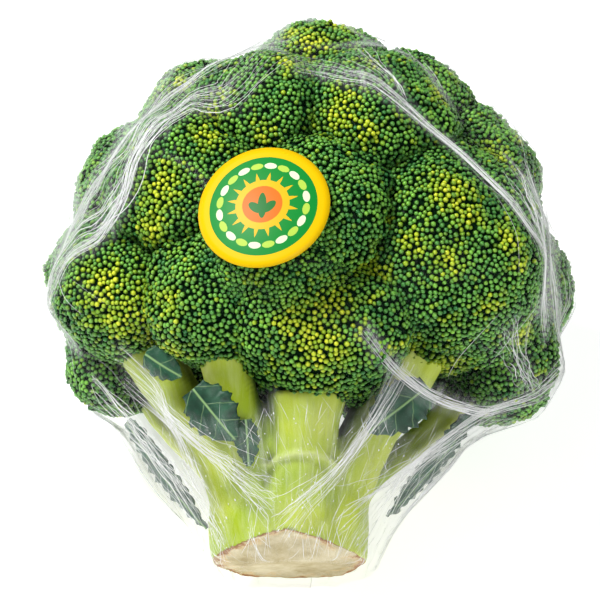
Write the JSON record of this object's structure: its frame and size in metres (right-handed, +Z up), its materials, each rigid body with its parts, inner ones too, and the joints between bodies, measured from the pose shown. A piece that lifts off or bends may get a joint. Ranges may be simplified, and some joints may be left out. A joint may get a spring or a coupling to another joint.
{
  "type": "broccoli head",
  "caption": "Broccoli head with a thick cut stalk, domed bud florets and small toothed leaves, wrapped in clear stretch film with a round label, lying on its back.",
  "frame": {"origin": "centre of the underside of the bounding box, on the surface that the head lies on", "axes": "+Z up from the surface, +Y from the stalk's cut end towards the crown, +X to the right as seen from the stalk's end"},
  "size_m": [0.1888, 0.1924, 0.1485],
  "materials": {
    "stalk": "smooth pale green stalk",
    "floret": "matt dark green buds",
    "leaf": "satin blue-green leaf",
    "film": "clear stretch film",
    "label": "printed gloss label"
  },
  "bodies": {
    "root": {"stalk": "stalk", "floret_front": "floret", "floret_front_left": "floret", "floret_left": "floret", "floret_left_low": "floret", "floret_left_edge": "floret", "floret_left_shoulder": "floret", "floret_left_upper": "floret", "floret_crown_left": "floret", "floret_top_left": "floret", "floret_centre": "floret", "floret_right": "floret", "floret_right_low": "floret", "floret_right_edge": "floret", "floret_right_shoulder": "floret", "floret_crown_front": "floret", "floret_crown_right": "floret", "floret_top": "floret", "floret_crown_back": "floret", "floret_back_left": "floret", "floret_back_right": "floret", "floret_back": "floret", "floret_back_low_left": "floret", "floret_back_low_right": "floret", "leaf_front_left": "leaf", "leaf_front_left_small": "leaf", "leaf_front_right": "leaf", "leaf_under_left": "leaf", "leaf_left_side": "leaf", "leaf_right_side": "leaf", "film_wrap": "film", "label": "label"}
  },
  "joints": []
}
